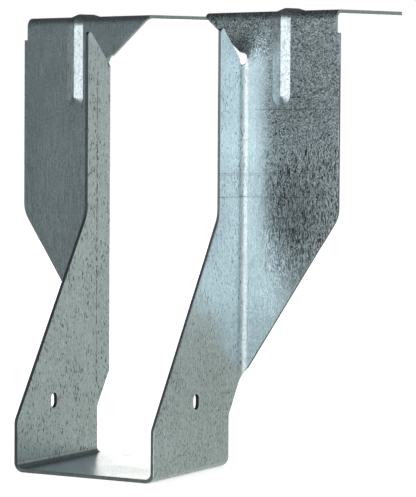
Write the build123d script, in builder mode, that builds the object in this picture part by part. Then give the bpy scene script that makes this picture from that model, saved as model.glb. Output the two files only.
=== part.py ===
"""Hanger that carries the end of a timber beam on a masonry wall, folded from one steel sheet.

Millimetres. The origin is the middle of the seat's upper face, where the beam bears.
+X runs across the beam, +Y towards the wall and +Z up. The wall's face is the plane y = wall_y.
Heights named below are measured up from the underside of the seat, as on a drawing.
"""
import os
from math import degrees, tan

from build123d import *

# The sheet and its folds
sheet = 1.2
bend_inside = 2.0

# Overall height, and the stirrup that the beam sits in
height = 150.0
seat_width = 50.0
seat_length = 48.0
seat_to_wall = 10.0
front_edge_height = 16.5
rear_edge_height = 17.0
taper_top_height = 82.5
strip_depth = 16.5

# Wings that lie on the wall; the top flanges rise to the rear by the angle that the fold sprang back
flange_width = 35.0
flange_foot_height = 29.0
top_flange_depth = 50.0
top_flange_rise = 2.5
step_depth = 1.2
step_drop = 4.5

# The cut that frees the gusset tongue from the side plate's sloped top, and the hole that it ends in.
# The hole sits a little towards the side plate from the middle of the fold.
tip_height = 145.0
slope_foot_height = 133.5
relief_drop = 15.5
relief_diameter = 4.2
relief_shift = 1.1
gusset_reach = 15.0
gusset_rise = 1.9
slit_height = 0.8

# Pressed V ribs over the top bends
rib_width = 6.4
rib_rise = 1.05
rib_crest_radius = 0.8
rib_offset = 14.0
rib_drop = 31.0
rib_run = 14.0

# Upright nail slots, staggered so that the nails from both sides miss each other
nail_slot_width = 3.5
nail_slot_height = 5.0
nail_height = 22.3
nail_to_wall = 34.2
nail_height_stagger = 2.0
nail_length_stagger = 5.0

# Rounding of the blank's corners
tip_radius = 1.1
heel_radius = 1.0
taper_foot_radius = 3.0
taper_top_radius = 8.0
flange_corner_radius = 10.0

# Folds: their radii and the lines where the flat sheet begins again
bend_outside = bend_inside + sheet
bend_middle = bend_inside + sheet / 2
base_z = -sheet
top_z = base_z + height
front_y = -seat_length / 2
rear_y = seat_length / 2
wall_y = rear_y + seat_to_wall
plate_inner_x = seat_width / 2
plate_outer_x = plate_inner_x + sheet
plate_middle_x = plate_inner_x + sheet / 2
fold_x = plate_outer_x + bend_inside
fold_y = wall_y - bend_outside
top_bend_y = wall_y + bend_inside
top_bend_z = top_z - bend_outside

# Outlines of the side plates and the wings
outer_x = plate_outer_x + flange_width
step_x = outer_x - step_depth
gusset_x = plate_outer_x - gusset_reach
rib_x = plate_outer_x + rib_offset
strip_y = wall_y - strip_depth
taper_top_z = base_z + taper_top_height
tip_z = base_z + tip_height
slope_foot_z = base_z + slope_foot_height
step_z = top_bend_z - step_drop
gusset_top_z = top_bend_z + gusset_rise
relief_z = top_z - relief_drop
relief_radius = relief_diameter / 2
relief_half_turn = relief_radius / bend_middle
relief_turn = 45 - degrees(relief_shift / bend_middle)
foot_slope = (taper_top_height - flange_foot_height) / flange_width
flange_foot_z = base_z + flange_foot_height + bend_inside * foot_slope
plate_foot_z = base_z + rear_edge_height + (fold_y - rear_y) * foot_slope


def rib_section(plane, halved=False):
    """The rib's V on a plane whose y axis leaves the sheet, with a skirt that reaches into the sheet."""
    half = rib_width / 2
    skirt = sheet / 2
    with BuildSketch(plane) as section:
        with BuildLine():
            FilletPolyline(
                (-half, -skirt),
                (half, -skirt),
                (half, 0),
                (0, rib_rise),
                (-half, 0),
                radius=(0, 0, 0, rib_crest_radius, 0),
                close=True,
            )
        make_face()
        if halved:
            split(bisect_by=Plane.YZ)
    return section.sketch


def rib_bar(sink):
    """One rib, rounded at both ends, down the face flange and back along the top flange."""
    face_y = wall_y - sheet + sink
    face_length = rib_drop - rib_width / 2 - bend_outside
    roof_length = rib_run - rib_width / 2 - bend_inside
    bend_turn = 90 - top_flange_rise
    bend_axis = Axis((rib_x, top_bend_y, top_bend_z), (-1, 0, 0))
    face = Plane((rib_x, face_y, top_bend_z), x_dir=(1, 0, 0), z_dir=(0, 0, -1))
    foot = face.offset(face_length)
    roof_normal = Vector(0, -1, 0).rotate(Axis.X, -bend_turn)
    roof_start = bend_axis.position + roof_normal * (bend_outside - sink)
    roof = Plane(roof_start, x_dir=(-1, 0, 0), z_dir=Vector(-1, 0, 0).cross(roof_normal))
    back = roof.offset(roof_length)
    face_section = rib_section(face)
    roof_section = rib_section(roof)
    foot_half = rib_section(foot, halved=True)
    back_half = rib_section(back, halved=True)
    with BuildPart() as bar:
        extrude(face_section, amount=face_length)
        revolve(face_section, axis=bend_axis, revolution_arc=bend_turn)
        extrude(roof_section, amount=roof_length)
        revolve(foot_half, axis=Axis(foot.origin, foot.y_dir))
        revolve(back_half, axis=Axis(back.origin, back.y_dir))
    return bar.part


# Stirrup: the seat and both side plates, folded as a U and trimmed to the side plates' outline
with BuildPart() as stirrup:
    with BuildSketch(Plane.XZ.offset(-front_y)):
        with BuildLine():
            FilletPolyline(
                (-plate_middle_x, top_z),
                (-plate_middle_x, base_z + sheet / 2),
                (plate_middle_x, base_z + sheet / 2),
                (plate_middle_x, top_z),
                radius=bend_middle,
            )
        trace(line_width=sheet)
    extrude(amount=front_y - fold_y)
    with BuildSketch(Plane.YZ):
        with BuildLine():
            FilletPolyline(
                (front_y, base_z),
                (front_y, base_z + front_edge_height),
                (strip_y, taper_top_z),
                (strip_y, tip_z),
                (fold_y, slope_foot_z),
                (fold_y, plate_foot_z),
                (rear_y, base_z + rear_edge_height),
                (rear_y, base_z),
                radius=(
                    0,
                    taper_foot_radius,
                    taper_top_radius,
                    tip_radius,
                    0,
                    0,
                    taper_foot_radius,
                    heel_radius,
                ),
                close=True,
            )
        make_face()
    extrude(amount=plate_outer_x, both=True, mode=Mode.INTERSECT)

# What the blank's straight taper leaves out below the fold: a ramp that winds round the fold
with BuildPart() as fold_foot:
    for turn in (0, 45, 90):
        radial = Vector(-1, 0, 0).rotate(Axis.Z, -turn)
        edge_z = plate_foot_z + (flange_foot_z - plate_foot_z) * turn / 90
        with BuildSketch(Plane((fold_x, fold_y, 0), x_dir=radial, z_dir=radial.cross(Vector(0, 0, 1)))):
            with BuildLine():
                Polyline(
                    (bend_inside / 2, base_z - sheet),
                    (bend_outside + sheet, base_z - sheet),
                    (bend_outside + sheet, edge_z),
                    (bend_inside / 2, edge_z),
                    close=True,
                )
            make_face()
    loft(ruled=True)

# Fold between a side plate and its face flange
with BuildPart() as fold:
    with BuildSketch(Plane.XY.offset(base_z)):
        with BuildLine():
            CenterArc((fold_x, fold_y), bend_middle, 90, 90)
        trace(line_width=sheet)
    extrude(amount=relief_z - base_z)
    add(fold_foot.part, mode=Mode.SUBTRACT)

# Wing: the face flange with its gusset tongue, and the top flange that bears on the wall
rib_skin = rib_bar(sink=0)
rib_hollow = rib_bar(sink=sheet)
with BuildPart() as wing:
    with BuildSketch(Plane.XZ.offset(-wall_y)):
        with BuildLine():
            FilletPolyline(
                (fold_x, flange_foot_z),
                (outer_x, taper_top_z),
                (outer_x, step_z),
                (step_x, step_z),
                (step_x, top_bend_z),
                (gusset_x, top_bend_z),
                (gusset_x, relief_z),
                (fold_x, relief_z),
                radius=(0, flange_corner_radius, 0, 0, 0, 0, 0, 0),
                close=True,
            )
        make_face()
    extrude(amount=sheet)
    with BuildSketch(Plane.YZ.offset(gusset_x)):
        with BuildLine():
            top_bend = CenterArc((top_bend_y, top_bend_z), bend_middle, 180, top_flange_rise - 90)
            PolarLine(top_bend @ 1, top_flange_depth - bend_inside, direction=top_bend % 1)
        trace(line_width=sheet)
    extrude(amount=step_x - gusset_x)
    add(rib_skin)
    add(rib_hollow, mode=Mode.SUBTRACT)
    # The gusset tongue's sloped edge, which runs on up into the top fold
    with BuildSketch(Plane.XZ.offset(-top_bend_y)):
        with BuildLine():
            Polyline(
                (gusset_x, relief_z),
                (plate_outer_x, relief_z),
                (plate_outer_x, relief_z + slit_height),
                (gusset_x, gusset_top_z),
                close=True,
            )
        make_face()
    extrude(amount=bend_outside, mode=Mode.SUBTRACT)

# The whole sheet: the stirrup with a fold and a wing on each side, then its punched holes
with BuildPart() as hanger:
    add(wing.part)
    add(fold.part)
    mirror(about=Plane.YZ)
    add(stirrup.part)
    for side in (-1, 1):
        # Relief hole, punched before folding, so that its walls now point at the fold's axis
        relief_axis = Vector(-side, 0, 0).rotate(Axis.Z, -side * relief_turn)
        relief = Plane((side * fold_x, fold_y, relief_z), x_dir=(0, 0, 1), z_dir=relief_axis)
        for reach in (bend_inside / 2, 2 * bend_outside):
            with BuildSketch(relief.offset(reach)):
                Ellipse(relief_radius, reach * tan(relief_half_turn))
        loft(ruled=True, mode=Mode.SUBTRACT)
        # Nail slot through the side plate
        nail_y = wall_y - nail_to_wall + side * nail_length_stagger / 2
        nail_z = base_z + nail_height + side * nail_height_stagger / 2
        with BuildSketch(Plane.YZ.offset(side * plate_middle_x)):
            with Locations((nail_y, nail_z)):
                SlotOverall(nail_slot_height, nail_slot_width, rotation=90)
        extrude(amount=sheet, both=True, mode=Mode.SUBTRACT)

hanger.part.label = "hanger"

os.makedirs("parts", exist_ok=True)
export_step(hanger.part, "parts/hanger.step")
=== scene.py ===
"""Looks of the folded steel hanger: its galvanised finish, a plain studio and the photograph's camera.

Metres, in the CAD frame: +X across the beam, +Y towards the wall, +Z up. What lies on the sheet is in
millimetres, as on a drawing, because the material works in millimetres.
"""
import math

import bpy
from mathutils import Matrix, Vector


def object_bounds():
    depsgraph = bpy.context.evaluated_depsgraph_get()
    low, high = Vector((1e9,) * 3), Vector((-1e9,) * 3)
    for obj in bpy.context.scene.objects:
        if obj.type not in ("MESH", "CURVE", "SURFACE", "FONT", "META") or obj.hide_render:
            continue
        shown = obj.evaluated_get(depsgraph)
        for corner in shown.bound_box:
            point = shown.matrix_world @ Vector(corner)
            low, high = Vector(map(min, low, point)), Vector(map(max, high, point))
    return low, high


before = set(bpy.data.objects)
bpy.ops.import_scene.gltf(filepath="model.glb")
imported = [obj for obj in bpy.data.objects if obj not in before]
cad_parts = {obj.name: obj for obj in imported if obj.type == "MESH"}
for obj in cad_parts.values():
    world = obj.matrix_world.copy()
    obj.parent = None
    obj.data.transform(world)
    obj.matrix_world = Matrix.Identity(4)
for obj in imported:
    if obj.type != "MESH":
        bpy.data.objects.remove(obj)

cad_low, cad_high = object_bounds()
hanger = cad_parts["hanger"]
MM = 0.001

# Photograph: its frame in pixels, and the camera that fits the object's measured edges
IMAGE_WIDTH = 416
IMAGE_HEIGHT = 497
FOCAL_PIXELS = 2228.87
CAMERA_AZIMUTH = 29.413
CAMERA_ELEVATION = 2.322
CAMERA_ROLL = 0.377
CAMERA_DISTANCE = 0.72764
AIM = Vector((0.0, 0.004, 0.0738))
AIM_PIXEL = (130.07, 238.87)

# Sheet, in millimetres: its thickness, its bends' outer radius, and where its faces and features lie
SHEET = 1.2
BEND = 3.2
PLATE_X = 25.0
WALL_Y = 34.0
TOP_Z = 148.8
FACE_Y = WALL_Y - SHEET
FOLD_X = PLATE_X + BEND
FOLD_Y = WALL_Y - BEND
FOLD_TOP_Z = 133.3
RIB_X = 40.2
RIB_HALF = 3.2
TIP_Z = 143.8
SLOTS_Y = (-6.0, 5.0)
SLOTS_Z = (15.0, 25.5)

# Finish: the zinc's colour, the brightest tone that it takes, the sheared edges' rounding and the depth of
# the grain and pits
ZINC = (0.51, 0.60, 0.625, 1.0)
TONE_LIMIT = 1.6
EDGE_RADIUS = 0.2 * MM
BUMP_DEPTH = 0.05 * MM

# Where the coats change, and where the right wing's coarse grain with painted glints begins, in millimetres,
# each over the stretch between its two values
TONGUE_COAT_X = (8.0, 12.0)
COARSE_X = (31.0, 40.0)
COARSE_FOOT_Z = (52.0, 72.0)
BRUSHED_X = (-12.0, -8.0)
WORMS_Z = (95.0, 115.0)
RIB_FOOT_Z = (113.0, 117.0)

# Scribe lines across the wings, three of which run on over the right side plate: height, start and end in
# x, and depth of tone
SCRIBE_LINES = (
    (116.4, 33.0, 61.0, 0.45),
    (95.4, 20.0, 50.0, 0.30),
    (94.8, 20.0, 40.0, 0.22),
    (87.6, 20.0, 55.0, 0.42),
    (81.0, -61.0, -30.0, 0.12),
)

# Dashed scratch down the left side plate: its place in y, and its foot and top
SCRATCH_Y = 23.3
SCRATCH_Z = (26.0, 128.0)

# Darker and paler spots on the wings: centre and radii in x and z, and the change in tone
WING_TONE_SPOTS = (
    ((24.0, 137.5), (6.5, 6.0), -0.55),
    ((34.0, 139.0), (9.0, 8.0), 0.1),
    ((-14.5, 139.0), (5.0, 5.0), 0.35),
    ((59.3, 143.5), (0.9, 2.6), 1.0),
    ((45.0, 82.0), (16.0, 24.0), -0.32),
    ((36.0, 55.0), (11.0, 15.0), 0.18),
)

# Studio: the world's light and how bright it looks, the floor, the light tent's dome, how far a card lies
# above the floor, and where the lamps point
WORLD_LIGHT = 0.8
WORLD_WHITE = 1.0
FLOOR_REACH = 20.0
FLOOR_GLOW = 0.45
TENT_RADIUS = 1.0
TENT_STEPS = 16
CARD_LIFT = 0.00003
LAMP_AIM = Vector((0.0, 0.0, 0.075))

# Lamps: azimuth, elevation, distance, width, height and brightness
LAMPS = {
    "key": (24, 22, 1.8, 1.6, 1.5, 1.8),
    "rear": (212, 25, 1.8, 1.6, 1.4, 1.6),
}

# The tent's panels: azimuths, elevations and tone
TENT_PANELS = {
    "dark_panel": ((-50, -12), (0, 65), (0.188, 0.21, 0.215)),
    "dark_ceiling": ((-50, -12), (65, 89.5), (0.09, 0.09, 0.095)),
    "front_glow": ((-12, 12), (0, 22), (2.15, 2.1, 2.1)),
    "front_ceiling": ((-12, 12), (22, 89.5), (0.12, 0.12, 0.125)),
    "corner_glow": ((12, 60), (0, 38), (2.0, 1.95, 2.0)),
    "corner_ceiling": ((12, 100), (38, 89.5), (0.12, 0.12, 0.125)),
    "left_panel": ((-105, -50), (0, 25), (0.38, 0.39, 0.38)),
    "left_ceiling": ((-105, -50), (25, 89.5), (0.09, 0.09, 0.095)),
    "rear_glow": ((-170, -115), (0, 13), (3.1, 2.95, 2.8)),
    "rear_ceiling": ((-170, -105), (13, 89.5), (0.09, 0.09, 0.095)),
    "right_panel": ((100, 190), (0, 11), (0.66, 0.67, 0.63)),
    "right_upper": ((100, 190), (11, 20), (0.6, 0.6, 0.58)),
    "right_ceiling": ((100, 190), (20, 89.5), (0.1, 0.1, 0.1)),
}

# Cards on the table: corners in millimetres, and tone
TABLE_CARDS = {
    "grey_table": (
        ((-24, -30), (1000, -30), (1000, 1000), (-24, 1000)),
        (0.56, 0.575, 0.525),
    ),
    "dark_table": (
        ((-1000, -1000), (25, -1000), (25, -31), (-27, -31), (-27, 60), (-1000, 60)),
        (0.21, 0.215, 0.22),
    ),
}


def direction(azimuth, elevation):
    """Unit vector from the object: azimuth 0 is its front and 90 its right side."""
    a = math.radians(azimuth)
    e = math.radians(elevation)
    return Vector((math.sin(a) * math.cos(e), -math.cos(a) * math.cos(e), math.sin(e)))


def photo_camera():
    """The camera whose picture puts AIM on AIM_PIXEL."""
    back = direction(CAMERA_AZIMUTH, CAMERA_ELEVATION)
    level_right = Vector((0, 0, 1)).cross(back).normalized()
    level_up = back.cross(level_right)
    roll = math.radians(CAMERA_ROLL)
    right = level_right * math.cos(roll) + level_up * math.sin(roll)
    up = level_up * math.cos(roll) - level_right * math.sin(roll)
    across = (AIM_PIXEL[0] - IMAGE_WIDTH / 2) / FOCAL_PIXELS
    rise = (IMAGE_HEIGHT / 2 - AIM_PIXEL[1]) / FOCAL_PIXELS
    place = AIM + (back - right * across - up * rise) * CAMERA_DISTANCE
    data = bpy.data.cameras.new("camera")
    data.lens = FOCAL_PIXELS / IMAGE_HEIGHT * data.sensor_width
    data.clip_start = 0.01
    data.clip_end = 100
    camera = bpy.data.objects.new("camera", data)
    axes = Matrix((right, up, back)).transposed()
    camera.matrix_world = Matrix.Translation(place) @ axes.to_4x4()
    bpy.context.scene.collection.objects.link(camera)
    bpy.context.scene.camera = camera


def spread(ends, steps):
    """steps + 1 even values from the first of ends to the second."""
    return [ends[0] + (ends[1] - ends[0]) * i / steps for i in range(steps + 1)]


class Graph:
    """Short calls that build one node tree."""

    def __init__(self, tree):
        self.tree = tree
        tree.nodes.clear()

    def add(self, kind, links=None, **settings):
        """A node of that kind. links maps an input's name or number to a socket or a plain value."""
        node = self.tree.nodes.new(kind)
        for name, value in settings.items():
            setattr(node, name, value)
        for key, value in (links or {}).items():
            if isinstance(value, bpy.types.NodeSocket):
                self.tree.links.new(value, node.inputs[key])
            else:
                node.inputs[key].default_value = value
        return node

    def math(self, operation, *values):
        return self.add("ShaderNodeMath", dict(enumerate(values)), operation=operation).outputs[0]

    def times(self, *values):
        """The product of two values or more."""
        product = values[0]
        for value in values[1:]:
            product = self.math("MULTIPLY", product, value)
        return product

    def rest(self, value):
        """What value leaves of 1."""
        return self.math("SUBTRACT", 1.0, value)

    def above(self, value, limit):
        """1 where value is more than limit, else 0."""
        return self.math("GREATER_THAN", value, limit)

    def below(self, value, limit):
        """1 where value is less than limit, else 0."""
        return self.math("LESS_THAN", value, limit)

    def ramp(self, value, low, high, out_low=0.0, out_high=1.0):
        """value mapped smoothly from low..high to out_low..out_high, and held at both ends."""
        links = {0: value, 1: low, 2: high, 3: out_low, 4: out_high}
        return self.add("ShaderNodeMapRange", links, interpolation_type="SMOOTHSTEP").outputs[0]

    def window(self, value, low, high, soft):
        """1 where value lies between low and high, falling smoothly to 0 over soft on both sides."""
        return self.times(self.ramp(value, low - soft, low), self.ramp(value, high, high + soft, 1.0, 0.0))

    def spot(self, u, v, centre, radii):
        """1 at the centre, falling smoothly to 0 on the ellipse of those radii."""
        across = self.math("DIVIDE", self.math("SUBTRACT", u, centre[0]), radii[0])
        along = self.math("DIVIDE", self.math("SUBTRACT", v, centre[1]), radii[1])
        square = self.math("ADD", self.times(across, across), self.times(along, along))
        return self.ramp(self.math("SQRT", square), 0.0, 1.0, 1.0, 0.0)

    def mix(self, share, low, high):
        """low where share is 0 and high where it is 1."""
        return self.add("ShaderNodeMix", {0: share, 2: low, 3: high}).outputs[0]

    def darker(self, mark, depth):
        """A tone: 1 where mark is 0, and depth less than that where it is 1."""
        return self.rest(self.times(mark, depth))

    def stretch(self, vector, scale):
        links = {0: vector, 1: scale}
        return self.add("ShaderNodeVectorMath", links, operation="MULTIPLY").outputs[0]

    def noise(self, vector, scale=1.0, detail=2.0, distortion=0.0):
        links = {"Vector": vector, "Scale": scale, "Detail": detail, "Distortion": distortion}
        return self.add("ShaderNodeTexNoise", links).outputs["Fac"]


class Sheet:
    """Where a point lies: its place in millimetres, and zones that are 1 inside and 0 outside."""

    def __init__(self, g):
        place = g.add("ShaderNodeTexCoord").outputs["Object"]
        self.mm = g.stretch(place, (1 / MM, 1 / MM, 1 / MM))
        self.x, self.y, self.z = g.add("ShaderNodeSeparateXYZ", {0: self.mm}).outputs
        self.side_x = g.math("ABSOLUTE", self.x)
        self.cut = self.cut_edges(g)
        self.wing = g.math("MAXIMUM", g.above(self.y, FACE_Y - 0.1), g.above(self.side_x, FOLD_X + 0.1))
        self.plate = g.rest(self.wing)
        on_rib = g.window(self.side_x, RIB_X - RIB_HALF, RIB_X + RIB_HALF, 0.2)
        self.rib = g.times(on_rib, self.wing, g.ramp(self.z, *RIB_FOOT_Z))
        self.off_rib = g.darker(self.rib, 0.8)

        # The right wing's coarse grain with painted glints, which its gusset tongue shares, and the left
        # wing's brushed coat
        on_tongue = g.ramp(self.z, FOLD_TOP_Z - 3.0, FOLD_TOP_Z + 3.0)
        on_tongue = g.times(on_tongue, g.ramp(self.x, *TONGUE_COAT_X))
        on_right = g.math("MAXIMUM", on_tongue, g.ramp(self.x, *COARSE_X))
        foot = g.ramp(self.z, *COARSE_FOOT_Z)
        # The coarse grain's zone, where the grain carries painted glints
        self.coarse = g.times(self.wing, on_right, self.off_rib, foot, g.rest(self.cut))
        self.brushed = g.times(self.wing, g.ramp(self.x, *BRUSHED_X, 1.0, 0.0))

    def cut_edges(self, g):
        """1 on the sheet's cut edges and in its holes, 0 on its two faces.

        On a flat stretch a cut edge's normal lies in the sheet, and on a bend it lies along the bend's axis.
        """
        normal = g.add("ShaderNodeNewGeometry").outputs["True Normal"]
        parts = g.add("ShaderNodeSeparateXYZ", {0: normal}).outputs
        nx, ny, nz = (g.math("ABSOLUTE", part) for part in parts)
        on_top = g.above(self.z, TOP_Z - BEND)
        on_roof = g.times(on_top, g.above(self.y, FACE_Y + BEND))
        on_top_bend = g.math("SUBTRACT", on_top, on_roof)
        on_seat = g.below(self.z, BEND - SHEET)
        past_fold = g.times(g.above(self.y, FOLD_Y), g.above(self.side_x, FOLD_X))
        above_fold = g.times(g.above(self.y, FACE_Y - 0.1), g.above(self.z, FOLD_TOP_Z))
        on_flange = g.times(g.math("MAXIMUM", past_fold, above_fold), g.rest(on_top))
        on_fold = g.times(g.above(self.y, FOLD_Y), g.below(self.z, FOLD_TOP_Z), g.rest(on_flange))
        elsewhere = 1.0
        for zone in (on_top, on_seat, on_flange, on_fold):
            elsewhere = g.math("SUBTRACT", elsewhere, zone)
        cut = 0.0
        for zone, is_cut in (
            (on_roof, g.below(nz, 0.5)),
            (on_top_bend, g.above(nx, 0.5)),
            (on_seat, g.above(ny, 0.5)),
            (on_flange, g.below(ny, 0.5)),
            (on_fold, g.above(nz, 0.4)),
            (elsewhere, g.below(nx, 0.5)),
        ):
            cut = g.math("MAXIMUM", cut, g.times(zone, is_cut))
        return cut


def spangle_grain(g, at):
    """Bright worms along the contour lines of a warped noise, drawn out upright lower down."""
    worm = g.noise(at.mm, scale=1.45, detail=1.0, distortion=1.3)
    drawn = g.noise(g.stretch(at.mm, (1.8, 1.8, 0.4)), detail=1.0, distortion=1.2)
    worm = g.mix(g.ramp(at.z, *WORMS_Z), drawn, worm)
    fine = g.noise(at.mm, scale=2.6, detail=1.0, distortion=0.6)
    contour = g.math("ABSOLUTE", g.math("SUBTRACT", worm, 0.5))
    line = g.ramp(contour, 0.0, 0.1, 1.0, 0.0)
    return g.math("ADD", g.times(line, 0.7), g.times(fine, 0.5))


def dark_pits(g, at):
    """Pits drawn out along the rolling direction, thicker in some places than in others."""
    pit_noise = g.noise(g.stretch(at.mm, (2.1, 2.1, 0.75)), detail=1.5, distortion=0.3)
    crowding = g.noise(at.mm, scale=0.12)
    level = g.ramp(crowding, 0.3, 0.7, 0.65, 0.57)
    return g.ramp(g.math("SUBTRACT", pit_noise, level), 0.0, 0.04)


def pit_tone(g, at, pits):
    """The pits' dark tone: deepest on the side plates, faint on the wings, the ribs and the cut edges."""
    depth = g.math("ADD", 0.3, g.times(at.plate, 0.4))
    outer_side = g.ramp(at.x, PLATE_X + SHEET, PLATE_X + SHEET + 0.4, 1.0, 0.5)
    return g.darker(pits, g.times(at.off_rib, depth, outer_side, g.darker(at.cut, 0.7)))


def coat_tone(g, at, spangle, cloud):
    """The even coat: broad clouds, rolling streaks, and the grain that each wing has of its own, the right
    wing's coarse grain carrying painted glints.
    """
    streak = g.noise(g.stretch(at.mm, (1.8, 1.8, 0.05)))
    hairline = g.noise(g.stretch(at.mm, (3.2, 3.2, 0.12)))
    grain = g.ramp(spangle, 0.1, 0.9, 0.85, 1.18)
    # Spangle grain with painted glints: bright worms and dark gaps between them
    grain_and_painted_glints = g.ramp(spangle, 0.25, 0.8, 0.25, 1.62)
    brush = g.ramp(hairline, 0.3, 0.7, 0.87, 1.11)
    return g.times(
        g.ramp(cloud, 0.3, 0.7, 0.95, 1.03),
        g.ramp(streak, 0.25, 0.75, 0.93, 1.06),
        g.mix(at.coarse, grain, grain_and_painted_glints),
        g.mix(at.brushed, 1.0, brush),
    )


def painted_light_tone(g, at):
    """Painted highlight high on the right plate's outer face, beside its fold and on the seat, and painted
    shade at that face's foot and in two bends: over the fold's glint and in the left plate's bend to the
    seat.
    """
    # Painted highlight high on the right plate's outer face, and painted shade at its foot
    outside = g.times(g.ramp(at.y, 29.5, 31.5, 1.0, 0.0), g.ramp(at.x, PLATE_X + 0.3, PLATE_X + 1.0))
    # Painted shade that dulls the glint in the fold
    painted_fold_glint_shade = g.times(g.window(at.x, FOLD_X - 1.5, FOLD_X - 0.3, 0.3), g.above(at.y, FOLD_Y))
    # Painted highlight beside the fold
    painted_highlight_beside_fold = g.times(at.wing, g.window(at.x, FOLD_X + 0.2, FOLD_X + 0.8, 3.0))
    # Painted shade in the left plate's bend to the seat
    painted_shade_left_bend = g.times(
        g.window(at.x, -PLATE_X - 0.1, -PLATE_X + 0.7, 0.2),
        g.window(at.z, 0.9, 2.0, 0.35),
    )
    # Painted highlight on the seat
    on_seat = g.times(g.ramp(at.z, 0.3, 0.9, 1.0, 0.0), g.ramp(at.x, -PLATE_X + 0.4, -PLATE_X + 1.0))
    return g.times(
        g.mix(outside, 1.0, g.ramp(at.z, 35.0, 75.0, 0.95, 1.2)),
        g.mix(painted_fold_glint_shade, 1.0, 0.92),
        g.mix(painted_highlight_beside_fold, 1.0, 1.06),
        g.mix(painted_shade_left_bend, 1.0, 0.68),
        g.mix(on_seat, 1.0, 1.12),
    )


def marks_tone(g, at):
    """Darker and paler spots on the wings' front faces, blots on the ribs, scribe lines and a scratch."""
    in_front = g.times(at.wing, g.ramp(at.y, FACE_Y + 0.3, FACE_Y + 0.6, 1.0, 0.0))
    blot = g.noise(g.stretch(at.mm, (0.9, 0.9, 0.45)), distortion=0.8)
    tone = g.darker(g.times(g.ramp(blot, 0.56, 0.64), at.rib), 0.3)
    for centre, radii, change in WING_TONE_SPOTS:
        mark = g.times(g.spot(at.x, at.z, centre, radii), in_front, change)
        tone = g.times(tone, g.math("ADD", 1.0, mark))
    for line_z, start_x, end_x, depth in SCRIBE_LINES:
        across = g.window(at.x, start_x, end_x, 4.0)
        mark = g.times(g.window(at.z, line_z - 0.06, line_z + 0.06, 0.12), across)
        tone = g.times(tone, g.darker(mark, depth))
    dashes = g.ramp(g.noise(g.stretch(at.mm, (2.0, 2.0, 0.6))), 0.42, 0.58)
    scratch = g.times(
        dashes,
        g.window(at.x, -PLATE_X - 0.3, -PLATE_X + 0.3, 0.1),
        g.window(at.y, SCRATCH_Y - 0.2, SCRATCH_Y + 0.2, 0.3),
        g.window(at.z, *SCRATCH_Z, 4.0),
    )
    return g.times(tone, g.darker(scratch, 0.75))


def edge_colour_and_light(g, at):
    """Cut edges: bare steel darker than the zinc with painted shade over it, deepest in the nail slots and
    on the tips, a painted highlight line down the right plate's front, and paler painted light high on that
    front and on the wings' edges above the fold's top.
    """
    # Paler painted light high on the right plate's front edge and on the wings' edges above the fold's top,
    # a painted highlight line down that front, and painted shade in the nail slots and on the tips
    high_up = g.ramp(at.z, 60.0, 90.0)
    painted_pale_band = g.times(g.window(at.x, PLATE_X + 0.3, PLATE_X + 0.6, 0.1), high_up, at.plate)
    painted_edge_highlight = g.times(g.window(at.x, PLATE_X + 0.88, PLATE_X + 1.14, 0.08), at.plate)
    painted_pale_high_edge = g.times(at.wing, g.ramp(at.z, FOLD_TOP_Z - 3.0, FOLD_TOP_Z - 2.0))
    painted_slot_shade = g.times(g.window(at.y, *SLOTS_Y, 0.5), g.window(at.z, *SLOTS_Z, 0.5))
    painted_tip_shade = g.times(at.plate, g.ramp(at.z, TIP_Z - 2.6, TIP_Z - 1.6))
    # Bare steel darker than the zinc, with painted shade over it, a little deeper on the left
    tone = g.ramp(at.x, -24.0, 24.0, 0.33, 0.36)
    for zone, zone_tone in (
        (painted_pale_band, 0.75),
        (painted_edge_highlight, 1.5),
        (painted_pale_high_edge, 0.75),
        (painted_slot_shade, 0.16),
        (painted_tip_shade, 0.12),
    ):
        tone = g.mix(zone, tone, zone_tone)
    return g.mix(at.cut, 1.0, tone)


def galvanised(material):
    """Zinc coat on rolled sheet: spangle, rolling streaks, dark pits, tool marks and bare cut edges, with
    painted light and shade on the sheet and its edges and painted glints in the right wing's coarse grain.
    """
    material.use_nodes = True
    g = Graph(material.node_tree)
    at = Sheet(g)
    spangle = spangle_grain(g, at)
    pits = dark_pits(g, at)
    cloud = g.noise(at.mm, scale=0.045, detail=3.0)
    tone = g.times(
        coat_tone(g, at, spangle, cloud),
        # Painted light and shade on the sheet
        painted_light_tone(g, at),
        pit_tone(g, at, pits),
        marks_tone(g, at),
        # Bare cut edges with painted light and shade on them
        edge_colour_and_light(g, at),
    )
    tone = g.math("MINIMUM", tone, TONE_LIMIT)
    grey = g.add("ShaderNodeCombineColor", {0: tone, 1: tone, 2: tone}).outputs[0]
    colour = g.add("ShaderNodeMix", {0: 1.0, 6: ZINC, 7: grey}, data_type="RGBA", blend_type="MULTIPLY")
    rounded = g.add("ShaderNodeBevel", {"Radius": EDGE_RADIUS}, samples=6).outputs[0]
    bump = g.add("ShaderNodeBump", {
        "Strength": 0.3,
        "Distance": BUMP_DEPTH,
        "Height": g.math("SUBTRACT", g.times(spangle, 0.5), pits),
        "Normal": rounded,
    })
    shader = g.add("ShaderNodeBsdfPrincipled", {
        "Base Color": colour.outputs[2],
        "Metallic": 1.0,
        "Roughness": g.math("ADD", g.ramp(cloud, 0.3, 0.7, 0.27, 0.32), g.times(at.cut, 0.2)),
        "Normal": bump.outputs[0],
    })
    g.add("ShaderNodeOutputMaterial", {"Surface": shader.outputs[0]})


def seen_rays(g):
    """1 for the rays that show the background: those of the camera, of gloss and of glass."""
    path = g.add("ShaderNodeLightPath").outputs
    some = g.math("MAXIMUM", path["Is Camera Ray"], path["Is Glossy Ray"])
    return g.math("MAXIMUM", some, path["Is Transmission Ray"])


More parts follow.
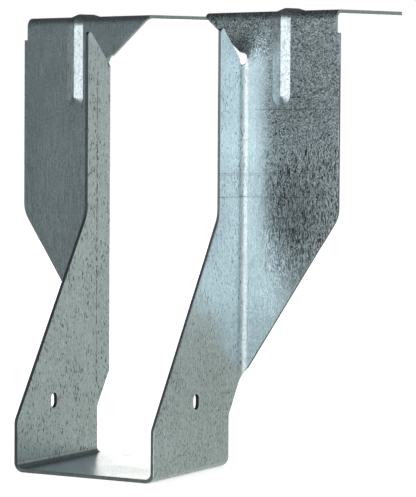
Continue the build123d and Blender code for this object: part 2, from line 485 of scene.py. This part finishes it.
def studio_world():
    """A white world, a little dimmer for diffuse light than for the rays that show it."""
    world = bpy.data.worlds.new("studio")
    world.use_nodes = True
    bpy.context.scene.world = world
    g = Graph(world.node_tree)
    light = g.add("ShaderNodeBackground", {"Color": (1, 1, 1, 1), "Strength": WORLD_LIGHT})
    white = g.add("ShaderNodeBackground", {"Color": (1, 1, 1, 1), "Strength": WORLD_WHITE})
    mix = g.add("ShaderNodeMixShader", {0: seen_rays(g), 1: light.outputs[0], 2: white.outputs[0]})
    g.add("ShaderNodeOutputWorld", {"Surface": mix.outputs[0]})


def studio_piece(name, corners, faces):
    """A mesh with a bare material, and the graph of that material's nodes."""
    mesh = bpy.data.meshes.new(name)
    mesh.from_pydata(corners, [], faces)
    piece = bpy.data.objects.new(name, mesh)
    bpy.context.scene.collection.objects.link(piece)
    material = bpy.data.materials.new(name)
    material.use_nodes = True
    piece.data.materials.append(material)
    return piece, Graph(material.node_tree)


def studio_floor():
    """A pale floor that takes the object's shadow and looks as white as the background."""
    reach = FLOOR_REACH
    z = cad_low.z
    corners = [(-reach, -reach, z), (reach, -reach, z), (reach, reach, z), (-reach, reach, z)]
    floor, g = studio_piece("floor", corners, [(0, 1, 2, 3)])
    diffuse = g.add("ShaderNodeBsdfDiffuse", {"Color": (0.8, 0.8, 0.8, 1)})
    strength = g.times(seen_rays(g), FLOOR_GLOW)
    glow = g.add("ShaderNodeEmission", {"Color": (1, 1, 1, 1), "Strength": strength})
    both = g.add("ShaderNodeAddShader", {0: diffuse.outputs[0], 1: glow.outputs[0]})
    g.add("ShaderNodeOutputMaterial", {"Surface": both.outputs[0]})


def gloss_card(name, corners, faces, tone):
    """A mesh that glows in one even tone, which only the metal's gloss shows."""
    piece, g = studio_piece(name, corners, faces)
    glow = g.add("ShaderNodeEmission", {"Color": (*tone, 1), "Strength": 1.0})
    g.add("ShaderNodeOutputMaterial", {"Surface": glow.outputs[0]})
    piece.visible_camera = False
    piece.visible_diffuse = False
    piece.visible_shadow = False
    piece.visible_transmission = False


def tent_panel(name, azimuths, elevations, tone):
    """One side of a light tent: the part of a dome between those azimuths and elevations."""
    corners = [
        direction(azimuth, elevation) * TENT_RADIUS + Vector((0, 0, cad_low.z))
        for azimuth in spread(azimuths, TENT_STEPS)
        for elevation in spread(elevations, TENT_STEPS)
    ]
    row = TENT_STEPS + 1
    faces = [
        (i * row + j, i * row + row + j, i * row + row + j + 1, i * row + j + 1)
        for i in range(TENT_STEPS)
        for j in range(TENT_STEPS)
    ]
    gloss_card(name, corners, faces, tone)


def table_card(name, outline, tone):
    """A card that lies on the table; outline is its corners in millimetres."""
    z = cad_low.z + CARD_LIFT
    gloss_card(name, [(x * MM, y * MM, z) for x, y in outline], [tuple(range(len(outline)))], tone)


def softbox(name, azimuth, elevation, distance, width, height, brightness):
    """An area light that the gloss doesn't show. brightness is how bright its face looks."""
    data = bpy.data.lights.new(name, "AREA")
    data.shape = "RECTANGLE"
    data.size = width
    data.size_y = height
    data.energy = brightness * math.pi * width * height
    lamp = bpy.data.objects.new(name, data)
    back = direction(azimuth, elevation)
    lamp.location = LAMP_AIM + back * distance
    lamp.rotation_euler = back.to_track_quat("Z", "Y").to_euler()
    lamp.visible_glossy = False
    bpy.context.scene.collection.objects.link(lamp)


galvanised(hanger.material_slots[0].material)
photo_camera()
studio_world()
studio_floor()
for lamp_name, lamp_values in LAMPS.items():
    softbox(lamp_name, *lamp_values)
for panel_name, panel_values in TENT_PANELS.items():
    tent_panel(panel_name, *panel_values)
for card_name, card_values in TABLE_CARDS.items():
    table_card(card_name, *card_values)

bpy.context.scene.view_settings.view_transform = "Standard"
